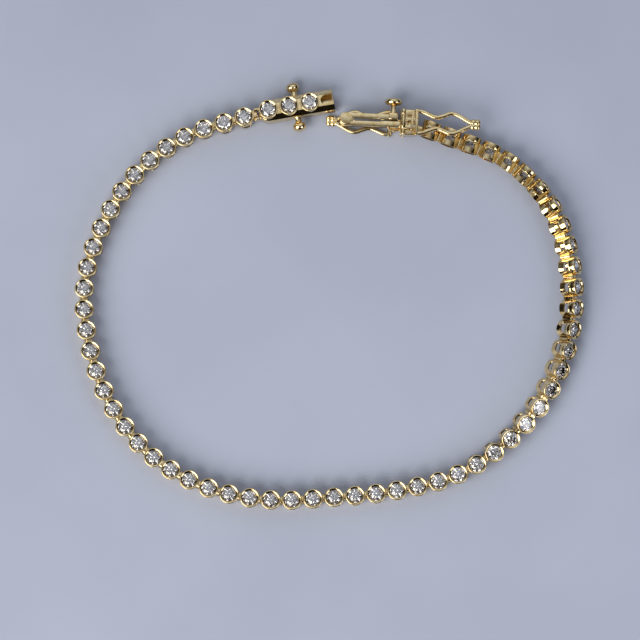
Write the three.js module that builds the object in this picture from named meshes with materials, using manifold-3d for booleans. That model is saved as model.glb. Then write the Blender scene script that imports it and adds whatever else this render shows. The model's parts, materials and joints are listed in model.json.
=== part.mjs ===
// A gem bracelet of round bezel cups joined by hinge barrels. It lies open: most of the chain rests
// on its back, the last quarter turns over onto its side, and the clasp is unfastened. The clasp is
// a hollow box with three set stones and two side pegs, a folded spring tongue with a thumb press,
// and two figure-eight safety catches that hinge on the tongue's end block.
// Millimetres, +Z up, resting on Z = 0.

import * as THREE from 'three';
import { mergeVertices } from 'three/addons/utils/BufferGeometryUtils.js';
import Module from 'manifold-3d';

const wasm = await Module();
wasm.setup();
const { Manifold, Mesh: SolidMesh } = wasm;

// Chain
const linkCount = 59;
const linksInFirstHalf = 30;
const linkPitch = 2.84;
const halvesGap = 0.12;
const mergeTolerance = 0.004;

// Bezel cup, the same on every link
const cupSides = 10;
const cupDiameter = 2.57;
const cupHeight = 2.35;
const cupWall = 0.265;
const lipWidth = 0.34;
const lipBevelWidth = 0.15;
const lipBevelHeight = 0.2;
const windowLength = 1.18;
const windowHeight = 0.8;
const windowCentreHeight = 1.15;

// Cut stone
const stoneDiameter = 2.08;
const tableShare = 0.56;
const crownHeight = 0.3;
const pavilionDepth = 0.88;
const girdleThickness = 0.05;
const tableDrop = 0.18;

// Hinge lug between two cups
const lugLength = 0.82;
const lugWidth = 0.72;
const lugHeight = 1.6;
const lugCentreHeight = 0.85;

// Lug and ears that join each end of the chain to the clasp
const endLugWidth = 0.7;
const endLugHeight = 0.8;
const earThickness = 0.34;
const earReach = 0.57;
const earRoot = 0.2;
const hingeGap = 0.14;
const lugEndGap = 0.18;

// Clasp box, with its open mouth at +X in its own frame
const boxLength = 10.3;
const boxWidth = 2.9;
const boxBodyHeight = 2.4;
const boxTotalHeight = 3.0;
const boxWall = 0.3;
const boxFloor = 0.32;
const boxRoof = 0.32;
const boxStoneCount = 3;
const boxRearMargin = 1.36;
const slotLength = 1.75;
const slotWidth = 1.5;
const boxYaw = 10;
const boxRoll = 6;

// Stone seat in a box cup
const seatGrooveHeight = 0.12;
const seatGap = 0.05;
const bearingDrop = 0.3;
const bearingWidth = 0.17;

// Side pegs of the box
const pegSides = 10;
const pegNeckRadius = 0.44;
const pegNeckLength = 0.75;
const pegHeadRadius = 0.94;
const pegHeadLength = 1.2;
const pegCentreHeight = 1.05;

// Outline of a peg's head, from its neck to its tip, as shares of its radius and length
const pegHeadOutline = [
  { radius: 1, along: 0.3 },
  { radius: 1, along: 0.62 },
  { radius: 0.66, along: 0.92 },
  { radius: 0, along: 1 },
];

// Spring tongue, folded at its nose; lengths run from the end block towards the nose
const tongueYaw = 177.5;
const tongueLength = 8.2;
const tongueThickness = 1.7;
const tongueWidth = 1.8;
const leafThickness = 0.66;
const foldLength = 1.9;
const closeLeafShare = 0.31;
const closeLeafGap = 0.16;
const freeLeafClearance = 0.32;
const noseRadius = 0.62;

// Thumb press on the upper leaf
const pressCentre = 1.0;
const pressNeckDiameter = 0.8;
const pressNeckHeight = 1.35;
const pressHeadDiameter = 2.4;
const pressHeadHeight = 0.95;
const pressSides = 12;

// Outline of the press's head, as shares of its radius and height
const pressHeadOutline = [
  { radius: 0.86, along: 0.1 },
  { radius: 1, along: 0.45 },
  { radius: 0.86, along: 0.9 },
  { radius: 0, along: 1 },
];

// End block of the tongue
const blockLength = 2.1;
const blockWidth = 2.1;
const blockAboveAxis = 1.6;
const blockBelowAxis = 1.85;
const chainBelowTongue = 0.86;

// Hinges of the two catches
const catchHingeBack = 0.4;
const catchBarrelRadius = 0.32;
const catchBarrelSides = 8;
const catchBarrelGap = 0.13;
const knuckleLength = 0.7;
const knuckleGap = 0.1;
const pinRadius = 0.13;
const pinClearance = 0.045;
const floorClearance = 0.02;

// Figure-eight catches
const catchPlateWidth = 1.2;
const catchPlateThickness = 0.3;
const catchBaseDistance = 1.8;
const catchBaseThickness = 0.5;
const catchWireWidth = 0.58;
const catchWireDepth = 0.5;
const catchLobeRadius = 0.42;
const catchLobeSpacing = 0.5;
const catchLobeDepth = 0.3;
const catchLobeOverlap = 0.12;
const catchLobeSides = 8;

// Half width of a catch's loop along its length: distance from the hinge and half width
const catchOutline = [
  { along: 1.8, half: 1.5 },
  { along: 3.1, half: 1.24 },
  { along: 4.6, half: 0.72 },
  { along: 6.4, half: 1.4 },
  { along: 7.8, half: 0.9 },
  { along: 9.1, half: 0.24 },
];
const catchOutlineSteps = 9;

// Route of the cup centres over the surface, from the box to the tongue
const chainRoute = [
  { x: -10.2, y: 27.3 },
  { x: -17.8, y: 24.9 },
  { x: -24.5, y: 20.0 },
  { x: -29.1, y: 13.1 },
  { x: -31.6, y: 5.1 },
  { x: -31.0, y: -3.4 },
  { x: -28.0, y: -11.5 },
  { x: -22.7, y: -18.2 },
  { x: -15.3, y: -22.5 },
  { x: -7.1, y: -24.2 },
  { x: 1.5, y: -23.9 },
  { x: 10.1, y: -23.0 },
  { x: 18.5, y: -20.8 },
  { x: 25.5, y: -15.8 },
  { x: 30.7, y: -9.1 },
  { x: 33.5, y: -1.0 },
  { x: 33.6, y: 7.5 },
  { x: 31.0, y: 15.4 },
  { x: 25.2, y: 21.5 },
  { x: 17.4, y: 24.7 },
  { x: 14.9, y: 25.6 },
];

// Twist of the chain: share of its length, roll of the faces outwards in degrees, lift off the surface
const chainTwist = [
  { share: 0.0, roll: boxRoll, lift: 0 },
  { share: 0.04, roll: 0, lift: 0 },
  { share: 0.62, roll: 0, lift: 0 },
  { share: 0.7, roll: 26, lift: 0 },
  { share: 0.79, roll: 52, lift: 0 },
  { share: 0.88, roll: 72, lift: 0 },
  { share: 0.945, roll: 89, lift: 0 },
  { share: 1.0, roll: 90, lift: 0.22 },
];

const gold = new THREE.MeshStandardMaterial({ color: 0xd9b45c, roughness: 0.18, metalness: 1 });
const goldAndStone = new THREE.MeshStandardMaterial({ color: 0xdcc27e, roughness: 0.2, metalness: 0.9 });
const stoneClear = new THREE.MeshStandardMaterial({ color: 0xf3f6f8, roughness: 0.02, metalness: 0 });

// Sizes that follow from the driving dimensions
const cupRadius = cupDiameter / 2;
const lipInnerRadius = cupRadius - lipWidth;
const boreRadius = cupRadius - cupWall;
const stoneRadius = stoneDiameter / 2;
const tableRadius = stoneRadius * tableShare;
const catchHingeOffset = blockWidth / 2 + catchBarrelGap + catchBarrelRadius;
const blockAxisHeight = floorClearance + catchBarrelRadius + catchHingeOffset;
const blockHeight = blockAboveAxis + blockBelowAxis;
const blockMiddle = (blockAboveAxis - blockBelowAxis) / 2;
const catchBarrelLength = blockHeight - 2 * (knuckleLength + knuckleGap);

// Closed solid from a three.js geometry
function solidFrom(geometry) {
  const bare = geometry.clone();
  for (const name of Object.keys(bare.attributes)) {
    if (name !== 'position') bare.deleteAttribute(name);
  }
  const merged = mergeVertices(bare, 1e-4);
  const index = merged.index.array;
  const triangles = [];
  for (let i = 0; i < index.length; i += 3) {
    const [a, b, c] = index.slice(i, i + 3);
    if (a !== b && b !== c && c !== a) triangles.push(a, b, c);
  }
  const vertProperties = new Float32Array(merged.attributes.position.array);
  const mesh = new SolidMesh({ numProp: 3, vertProperties, triVerts: new Uint32Array(triangles) });
  return new Manifold(mesh);
}

// Named mesh from a closed solid
function meshFrom(name, solid, material) {
  const data = solid.getMesh();
  const geometry = new THREE.BufferGeometry();
  geometry.setAttribute('position', new THREE.BufferAttribute(data.vertProperties, 3));
  geometry.setIndex(new THREE.BufferAttribute(data.triVerts, 1));
  geometry.computeVertexNormals();
  const mesh = new THREE.Mesh(geometry, material);
  mesh.name = name;
  return mesh;
}

function union(solids) {
  return Manifold.union(solids);
}

// Solid of revolution about +Z from [radius, height] pairs, with a corner on the Y axis
function turned(profile, sides) {
  const points = profile.map(([radius, height]) => new THREE.Vector2(radius, height));
  return solidFrom(new THREE.LatheGeometry(points, sides).rotateX(Math.PI / 2));
}

// Box with its centre at x, y, z
function block(length, width, height, x = 0, y = 0, z = 0) {
  return solidFrom(new THREE.BoxGeometry(length, width, height).translate(x, y, z));
}

// Round bar along Y with its centre at x, y, z
function bar(radius, length, sides, x = 0, y = 0, z = 0) {
  const corners = Array.from({ length: sides }, (_, i) => {
    const angle = (i + 0.5) * 2 * Math.PI / sides;
    return new THREE.Vector2(radius * Math.cos(angle), radius * Math.sin(angle));
  });
  return extruded(new THREE.Shape(corners), -length / 2, length / 2).rotate([90, 0, 0]).translate(x, y, z);
}

// Solid between two heights over an outline in X and Y
function extruded(shape, low, high, curveSegments = 6) {
  const settings = { depth: high - low, bevelEnabled: false, curveSegments };
  return solidFrom(new THREE.ExtrudeGeometry(shape, settings).translate(0, 0, low));
}

// Loose brilliant stone about +Z with its table at the given height
function cutStone(table) {
  const girdle = table - crownHeight;
  return turned([
    [0, girdle - girdleThickness - pavilionDepth],
    [stoneRadius, girdle - girdleThickness],
    [stoneRadius, girdle],
    [tableRadius, table],
    [0, table],
  ], cupSides);
}

// Cup with its lip, windows and stone in one piece, back at Z = 0 and travel along +X
function linkCup() {
  const table = cupHeight - tableDrop;
  const girdle = table - crownHeight;
  const crownAt = (radius) => girdle + crownHeight * (stoneRadius - radius) / (stoneRadius - tableRadius);
  const pavilionAt = (radius) => girdle - pavilionDepth * (stoneRadius - radius) / stoneRadius;
  const setCup = turned([
    [0, pavilionAt(0)],
    [boreRadius, pavilionAt(boreRadius)],
    [boreRadius, 0],
    [cupRadius, 0],
    [cupRadius, cupHeight - lipBevelHeight],
    [cupRadius - lipBevelWidth, cupHeight],
    [lipInnerRadius, crownAt(lipInnerRadius)],
    [tableRadius, table],
    [0, table],
  ], cupSides);
  const keptStone = turned([
    [0, pavilionAt(0) - girdleThickness],
    [stoneRadius, girdle - girdleThickness],
    [0, cupHeight],
  ], cupSides);
  const windows = block(windowLength, 2 * cupDiameter, windowHeight, 0, 0, windowCentreHeight);
  return setCup.subtract(windows.subtract(keptStone));
}

// Lug in a link's own frame, before (-1) or behind (1) its cup
function linkLug(width, height, side) {
  return block(lugLength, width, height, side * linkPitch / 2, 0, lugCentreHeight);
}

// Route scaled so that its length holds the whole chain
function chainCurve() {
  const points = chainRoute.map(({ x, y }) => new THREE.Vector3(x, y, 0));
  const chosen = new THREE.CatmullRomCurve3(points, false, 'centripetal');
  const factor = (linkCount - 1) * linkPitch / chosen.getLength();
  const curve = new THREE.CatmullRomCurve3(points.map((p) => p.multiplyScalar(factor)), false, 'centripetal');
  curve.arcLengthDivisions = 4000;
  return curve;
}

// Roll and lift at a share of the chain's length
function twistAt(share) {
  const next = chainTwist.findIndex((row) => row.share >= share);
  if (next <= 0) return chainTwist[0];
  const [low, high] = [chainTwist[next - 1], chainTwist[next]];
  const part = (share - low.share) / (high.share - low.share);
  const blend = (column) => THREE.MathUtils.lerp(low[column], high[column], part);
  return { share, roll: blend('roll'), lift: blend('lift') };
}

// Placement with x along the travel and z along the face normal
function frameOf(origin, along, normal) {
  const x = along.clone().normalize();
  const y = new THREE.Vector3().crossVectors(normal, x).normalize();
  const z = new THREE.Vector3().crossVectors(x, y);
  return new THREE.Matrix4().makeBasis(x, y, z).setPosition(origin);
}

// Placements of the cups' back centres, each cup resting on the surface at its roll
function linkFrames() {
  const curve = chainCurve();
  const up = new THREE.Vector3(0, 0, 1);
  return Array.from({ length: linkCount }, (_, i) => {
    const share = i / (linkCount - 1);
    const { roll, lift } = twistAt(share);
    const angle = THREE.MathUtils.degToRad(roll);
    const along = curve.getTangentAt(share);
    const outwards = new THREE.Vector3().crossVectors(along, up);
    const normal = up.clone().multiplyScalar(Math.cos(angle)).addScaledVector(outwards, Math.sin(angle));
    const middle = curve.getPointAt(share);
    middle.z = lift + cupHeight / 2 * Math.cos(angle) + cupRadius * Math.sin(angle);
    return frameOf(middle.addScaledVector(normal, -cupHeight / 2), along, normal);
  });
}

// Links from first to last as one solid; the last lug stops short of the cup that follows
function chainHalf(frames, first, last) {
  const cup = linkCup();
  const solids = [];
  for (let i = first; i <= last; i += 1) {
    const place = frames[i].toArray();
    const lug = i === linkCount - 1 ? linkLug(endLugWidth, endLugHeight, 1) : linkLug(lugWidth, lugHeight, 1);
    solids.push(cup.transform(place), lug.transform(place));
    if (i === 0) solids.push(linkLug(endLugWidth, endLugHeight, -1).transform(place));
  }
  const chain = union(solids).simplify(mergeTolerance);
  if (last === linkCount - 1) return chain;
  const nextCup = turned([
    [0, -cupHeight],
    [cupRadius + halvesGap, -cupHeight],
    [cupRadius + halvesGap, 2 * cupHeight],
    [0, 2 * cupHeight],
  ], cupSides);
  return chain.subtract(nextCup.transform(frames[last + 1].toArray()));
}

// Two ears round an end lug, standing back from x = 0 as far as the lug's middle
function lugEars(z) {
  const offset = (endLugWidth + earThickness) / 2 + hingeGap;
  const ear = (side) => block(earReach + earRoot, earThickness, endLugHeight, (earRoot - earReach) / 2, side * offset, z);
  return ear(-1).add(ear(1));
}

// Box cup with a seat that holds a separate stone, back at Z = 0
function boxCup(height) {
  const girdle = height - tableDrop - crownHeight;
  const groove = stoneRadius + seatGap;
  const bearing = stoneRadius - bearingWidth;
  return turned([
    [cupRadius, 0],
    [cupRadius, height - lipBevelHeight],
    [cupRadius - lipBevelWidth, height],
    [lipInnerRadius, girdle + seatGrooveHeight],
    [groove, girdle + seatGap],
    [groove, girdle - girdleThickness - seatGap],
    [bearing, girdle - girdleThickness - bearingDrop],
    [bearing, 0],
    [cupRadius, 0],
  ], cupSides);
}

// Mushroom peg that stands out of the box's side along Y
function sidePeg(side) {
  const inner = boxWidth / 2 - boxWall / 2;
  const neckEnd = boxWidth / 2 + pegNeckLength;
  const peg = turned([
    [0, inner],
    [pegNeckRadius, inner],
    [pegNeckRadius, neckEnd],
    ...pegHeadOutline.map(({ radius, along }) => [pegHeadRadius * radius, neckEnd + pegHeadLength * along]),
  ], pegSides);
  return peg.rotate([-90 * side, 0, 0]).translate(0, 0, pegCentreHeight);
}

// Hollow box with three cups, a keyhole slot at its mouth, side pegs and rear ears
function claspBox() {
  const half = boxLength / 2;
  const radius = boxWidth / 2;
  const plan = new THREE.Shape();
  plan.moveTo(half, -radius);
  plan.lineTo(half, radius);
  plan.lineTo(radius - half, radius);
  plan.absarc(radius - half, 0, radius, Math.PI / 2, 3 * Math.PI / 2, false);
  const slot = new THREE.Shape();
  const slotStart = half - slotLength + slotWidth / 2;
  slot.moveTo(half + boxWall, -slotWidth / 2);
  slot.lineTo(half + boxWall, slotWidth / 2);
  slot.lineTo(slotStart, slotWidth / 2);
  slot.absarc(slotStart, 0, slotWidth / 2, Math.PI / 2, 3 * Math.PI / 2, false);
  const roofUnder = boxBodyHeight - boxRoof;
  const hollowLength = boxLength - radius;
  const hollowHeight = roofUnder - boxFloor;
  const hollowX = half + boxWall - hollowLength / 2;
  const hollow = block(hollowLength, boxWidth - 2 * boxWall, hollowHeight, hollowX, 0, boxFloor + hollowHeight / 2);
  const bore = (x) => turned([
    [0, boxFloor],
    [stoneRadius - bearingWidth, boxFloor],
    [stoneRadius - bearingWidth, boxTotalHeight],
    [0, boxTotalHeight],
  ], cupSides).translate(x, 0, 0);
  const cups = boxStoneCentres().map((x) => boxCup(boxTotalHeight - roofUnder).translate(x, 0, roofUnder));
  const body = extruded(plan, 0, boxBodyHeight)
    .subtract(union([hollow, extruded(slot, roofUnder - boxWall, boxTotalHeight), ...boxStoneCentres().map(bore)]));
  const seats = boxStoneCentres().map((x) => turned([
    [0, roofUnder],
    [cupRadius - boxWall / 2, roofUnder],
    [cupRadius - boxWall / 2, boxTotalHeight],
    [0, boxTotalHeight],
  ], cupSides).translate(x, 0, 0));
  const ears = lugEars(lugCentreHeight).translate(-half, 0, 0).subtract(hollow);
  return union([body.subtract(union(seats)), ...cups, sidePeg(1), sidePeg(-1), ears]);
}

function boxStoneCentres() {
  return Array.from({ length: boxStoneCount }, (_, i) => boxRearMargin + i * linkPitch - boxLength / 2);
}

// Spring tongue, thumb press and end block in one piece: x towards the nose, y along the face normal
function tongue() {
  const half = tongueThickness / 2;
  const innerHalf = half - leafThickness;
  const gapEnd = tongueLength - foldLength;
  const gapStep = tongueLength * closeLeafShare;
  const plan = new THREE.Shape();
  plan.moveTo(-blockLength / 2, -half);
  plan.lineTo(tongueLength - noseRadius, -half);
  plan.absarc(tongueLength - noseRadius, noseRadius - half, noseRadius, -Math.PI / 2, 0, false);
  plan.absarc(tongueLength - noseRadius, half - noseRadius, noseRadius, 0, Math.PI / 2, false);
  plan.lineTo(freeLeafClearance, half);
  plan.lineTo(freeLeafClearance, closeLeafGap / 2);
  plan.lineTo(gapStep, closeLeafGap / 2);
  plan.lineTo(gapStep + innerHalf, innerHalf);
  plan.lineTo(gapEnd - innerHalf, innerHalf);
  plan.absarc(gapEnd - innerHalf, 0, innerHalf, Math.PI / 2, -Math.PI / 2, true);
  plan.lineTo(gapStep + innerHalf, -innerHalf);
  plan.lineTo(gapStep, -closeLeafGap / 2);
  plan.lineTo(-blockLength / 2, -closeLeafGap / 2);
  const spring = extruded(plan, -tongueWidth / 2, tongueWidth / 2, 5);
  return union([spring, thumbPress(), endBlock()]);
}

// Round-headed press that stands on the upper leaf along Y
function thumbPress() {
  const base = tongueThickness / 2 - leafThickness / 2;
  const neckEnd = tongueThickness / 2 + pressNeckHeight;
  const neck = pressNeckDiameter / 2;
  const head = pressHeadDiameter / 2;
  return turned([
    [0, base],
    [neck, base],
    [neck, neckEnd],
    ...pressHeadOutline.map(({ radius, along }) => [head * radius, neckEnd + pressHeadHeight * along]),
  ], pressSides).rotate([-90, 0, 0]).translate(pressCentre, 0, 0);
}

// Block behind the tongue, with knuckles for both catches and ears for the chain's last lug
function endBlock() {
  const core = block(blockLength, blockHeight, blockWidth, -blockLength / 2, blockMiddle, 0);
  const knuckleAt = (blockHeight - knuckleLength) / 2;
  const knuckles = [];
  for (const side of [-1, 1]) {
    for (const end of [-1, 1]) {
      const y = blockMiddle + end * knuckleAt;
      const height = catchHingeOffset + catchBarrelRadius - blockWidth / 4;
      const middle = side * (catchHingeOffset + catchBarrelRadius - height / 2);
      knuckles.push(block(2 * catchBarrelRadius, knuckleLength, height, -catchHingeBack, y, middle));
    }
  }
  const bores = [-1, 1].map((side) => bar(pinRadius + pinClearance, 2 * blockHeight, catchBarrelSides,
    -catchHingeBack, blockMiddle, side * catchHingeOffset));
  return union([core, ...knuckles]).subtract(union(bores)).add(blockEars());
}

// Ears of the end block round the last lug of the chain, whose hinge axis is parallel to Z here
function blockEars() {
  return lugEars(0).rotate([90, 0, 0]).translate(-blockLength, -chainBelowTongue, lastLugDrop());
}

// Height of the last lug above the end block's middle, along the block's own +Z, which points down
function lastLugDrop() {
  const lastRest = cupRadius + chainTwist[chainTwist.length - 1].lift;
  return blockAxisHeight - lastRest;
}

// Figure-eight catch: hinge barrel along Y at the origin, loop towards +X
function catchLoop() {
  const hinge = bar(catchBarrelRadius, catchBarrelLength, catchBarrelSides);
  const bore = bar(pinRadius + pinClearance, 2 * catchBarrelLength, catchBarrelSides);
  const plate = block(catchBaseDistance, catchPlateWidth, catchPlateThickness, catchBaseDistance / 2, 0, 0);
  const tipAt = catchOutline[catchOutline.length - 1].along + catchLobeRadius - catchLobeOverlap;
  const lobeAt = (row, side) => {
    const ball = new THREE.SphereGeometry(catchLobeRadius, catchLobeSides, catchLobeSides / 2).rotateX(Math.PI / 2);
    ball.scale(1, 1, catchLobeDepth / catchLobeRadius);
    return solidFrom(ball.translate(tipAt + row * catchLobeSpacing, side * catchLobeSpacing / 2, 0));
  };
  const lobes = [0, 1].flatMap((row) => [lobeAt(row, -1), lobeAt(row, 1)]);
  return union([hinge, plate, catchWire(), ...lobes]).subtract(bore);
}

// Loop of flat wire that follows the catch's outline on both sides
function catchWire() {
  const rows = catchOutline.map(({ along, half }) => new THREE.Vector2(along, half));
  const middle = new THREE.SplineCurve(rows).getPoints(catchOutlineSteps);
  const offset = (distance) => middle.map((point, i) => {
    const before = middle[Math.max(i - 1, 0)];
    const after = middle[Math.min(i + 1, middle.length - 1)];
    const side = after.clone().sub(before).normalize();
    return new THREE.Vector2(point.x - side.y * distance, point.y + side.x * distance);
  });
  const mirrored = (points) => points.map((point) => new THREE.Vector2(point.x, -point.y)).reverse();
  const baseFront = catchBaseDistance - catchBaseThickness / 2;
  const baseBack = catchBaseDistance + catchBaseThickness / 2;
  const outer = offset(catchWireWidth / 2).filter((point) => point.x > baseBack);
  const inner = offset(-catchWireWidth / 2).filter((point) => point.x > baseBack && point.y > catchWireWidth / 4);
  outer.unshift(new THREE.Vector2(baseFront, catchOutline[0].half + catchWireWidth / 2));
  inner.unshift(new THREE.Vector2(baseBack, inner[0].y));
  const shape = new THREE.Shape([...outer, ...mirrored(outer)].reverse());
  shape.holes.push(new THREE.Path([...inner, ...mirrored(inner)]));
  return extruded(shape, -catchWireDepth / 2, catchWireDepth / 2);
}

// Hinge pin along Y, a little longer than its knuckles
function hingePin() {
  const reach = blockHeight / 2 + knuckleGap / 2;
  return bar(pinRadius, 2 * reach, catchBarrelSides);
}

// Clasp box and its stones, turned and rolled, resting on the surface
function placedBox(firstFrame) {
  const lugAxis = new THREE.Vector3(-linkPitch / 2, 0, lugCentreHeight).applyMatrix4(firstFrame);
  const solid = claspBox();
  const group = new THREE.Group();
  group.name = 'box_group';
  group.add(meshFrom('clasp_box', solid, gold));
  boxStoneCentres().forEach((x, i) => {
    const stone = meshFrom(`clasp_stone_${i + 1}`, cutStone(boxTotalHeight - tableDrop), stoneClear);
    stone.position.x = x;
    group.add(stone);
  });
  const yaw = THREE.MathUtils.degToRad(boxYaw);
  const along = new THREE.Vector3(Math.cos(yaw), Math.sin(yaw), 0);
  group.rotation.set(-THREE.MathUtils.degToRad(boxRoll), 0, yaw, 'ZYX');
  group.position.copy(lugAxis).addScaledVector(along, lugLength / 2 + lugEndGap + boxLength / 2);
  group.position.z = 0;
  group.position.z = -new THREE.Box3().setFromObject(group, true).min.z;
  return group;
}

// Tongue with its pins and catches; its own +Z points down, so the near catch is the lower one
function placedTongue(lastFrame) {
  const lugAxis = new THREE.Vector3(linkPitch / 2, 0, lugCentreHeight).applyMatrix4(lastFrame);
  const yaw = THREE.MathUtils.degToRad(tongueYaw);
  const along = new THREE.Vector3(Math.cos(yaw), Math.sin(yaw), 0);
  const down = new THREE.Vector3(0, 0, -1);
  const normal = new THREE.Vector3().crossVectors(down, along);
  const origin = lugAxis.addScaledVector(along, lugLength / 2 + lugEndGap + blockLength).addScaledVector(normal, chainBelowTongue);
  origin.z = blockAxisHeight;
  const group = new THREE.Group();
  group.name = 'tongue_group';
  group.applyMatrix4(frameOf(origin, along, down));
  group.add(meshFrom('tongue', tongue(), gold));
  const loop = catchLoop();
  const pin = hingePin();
  for (const [name, side, turn] of [['near', 1, 0], ['far', -1, Math.PI]]) {
    const hinge = new THREE.Group();
    hinge.name = `${name}_hinge`;
    hinge.position.set(-catchHingeBack, blockMiddle, side * catchHingeOffset);
    hinge.rotation.y = turn;
    hinge.add(meshFrom(`catch_${name}`, loop, gold));
    hinge.add(meshFrom(`catch_pin_${name}`, pin, gold));
    group.add(hinge);
  }
  return group;
}

const frames = linkFrames();
const bracelet = new THREE.Group();
bracelet.name = 'bracelet';
bracelet.add(meshFrom('chain_a', chainHalf(frames, 0, linksInFirstHalf - 1), goldAndStone));
bracelet.add(meshFrom('chain_b', chainHalf(frames, linksInFirstHalf, linkCount - 1), goldAndStone));
bracelet.add(placedBox(frames[0]));
bracelet.add(placedTongue(frames[linkCount - 1]));

// The middle of the whole piece stands over the origin, and its lowest point on Z = 0
const extent = new THREE.Box3().setFromObject(bracelet, true);
const centre = extent.getCenter(new THREE.Vector3());
bracelet.position.set(-centre.x, -centre.y, -extent.min.z);
bracelet.updateMatrixWorld(true);

export default bracelet;
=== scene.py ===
"""A gem bracelet of round bezel cups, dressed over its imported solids: polished gold and cut diamonds."""

from __future__ import annotations

import json
import logging
import math
from dataclasses import dataclass, field
from enum import Enum

import bpy
import numpy as np
from mathutils import Matrix, Vector

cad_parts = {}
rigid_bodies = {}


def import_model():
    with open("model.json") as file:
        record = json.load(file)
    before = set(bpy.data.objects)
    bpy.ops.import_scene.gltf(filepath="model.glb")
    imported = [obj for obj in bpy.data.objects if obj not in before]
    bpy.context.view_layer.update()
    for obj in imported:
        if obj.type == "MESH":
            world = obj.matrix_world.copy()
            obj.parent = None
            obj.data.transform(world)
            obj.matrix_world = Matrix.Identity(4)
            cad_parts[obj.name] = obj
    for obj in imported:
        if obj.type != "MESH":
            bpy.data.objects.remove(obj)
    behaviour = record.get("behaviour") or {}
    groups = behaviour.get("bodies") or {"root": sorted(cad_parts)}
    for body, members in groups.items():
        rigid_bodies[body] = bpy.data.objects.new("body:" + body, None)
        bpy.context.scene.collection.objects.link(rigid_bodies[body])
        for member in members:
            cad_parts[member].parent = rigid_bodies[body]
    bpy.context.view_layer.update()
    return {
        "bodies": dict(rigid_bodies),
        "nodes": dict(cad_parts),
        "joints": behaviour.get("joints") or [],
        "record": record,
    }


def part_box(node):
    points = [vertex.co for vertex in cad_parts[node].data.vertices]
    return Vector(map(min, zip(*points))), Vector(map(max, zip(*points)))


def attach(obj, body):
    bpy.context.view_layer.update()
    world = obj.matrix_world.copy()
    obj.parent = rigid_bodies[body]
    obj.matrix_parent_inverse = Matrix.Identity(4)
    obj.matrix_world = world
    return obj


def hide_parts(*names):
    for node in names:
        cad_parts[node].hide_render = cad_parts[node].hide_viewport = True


LOG = logging.getLogger("bracelet")
MM = 0.001
UP = Vector((0.0, 0.0, 1.0))
ORIGIN = (0.0, 0.0, 0.0)
CREASE_DEGREES = 38.0
CORNER_SHARE = 0.3


class Shading(Enum):
    """How a piece's faces are shaded."""

    POLISHED = "smooth, with creases kept sharp"
    FACETED = "flat facets"


@dataclass(frozen=True)
class Finish:
    """A material, a slot name and the way its faces are shaded."""

    material: bpy.types.Material
    slot: str
    shading: Shading


def srgb(hex_colour: str) -> tuple[float, float, float, float]:
    """Turns an sRGB hex colour into linear RGBA.

    Args:
        hex_colour: Six hex digits with a leading hash.

    Returns:
        Linear red, green, blue and an alpha of one.
    """
    channels = [int(hex_colour[i:i + 2], 16) / 255 for i in (1, 3, 5)]
    linear = [c / 12.92 if c <= 0.04045 else ((c + 0.055) / 1.055) ** 2.4 for c in channels]
    return (linear[0], linear[1], linear[2], 1.0)


def per_metre(size_mm: float) -> float:
    """Texture scale, in repeats per metre, of a pattern whose marks are size_mm apart."""
    return 1.0 / (size_mm * MM)


def add_node(tree: bpy.types.NodeTree, kind: str, settings: dict | None = None,
             links: dict | None = None) -> bpy.types.Node:
    """Adds one node with its settings and links.

    Args:
        tree: Node tree that gets the node.
        kind: Blender's type name of the node.
        settings: Input names or node attributes, with their values.
        links: Input names, with the output sockets that feed them.

    Returns:
        The new node.
    """
    node = tree.nodes.new(kind)
    for name, value in (settings or {}).items():
        if name in node.inputs:
            node.inputs[name].default_value = value
        else:
            setattr(node, name, value)
    for name, output in (links or {}).items():
        tree.links.new(output, node.inputs[name])
    return node


def ramp(node: bpy.types.Node, stops: list[tuple[float, tuple]]) -> None:
    """Sets the stops of a colour ramp.

    Args:
        node: The colour ramp node.
        stops: Pairs of place and linear colour, from low to high.
    """
    elements = node.color_ramp.elements
    while len(elements) > 1:
        elements.remove(elements[-1])
    elements[0].position, elements[0].color = stops[0]
    for place, colour in stops[1:]:
        elements.new(place).color = colour


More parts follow.
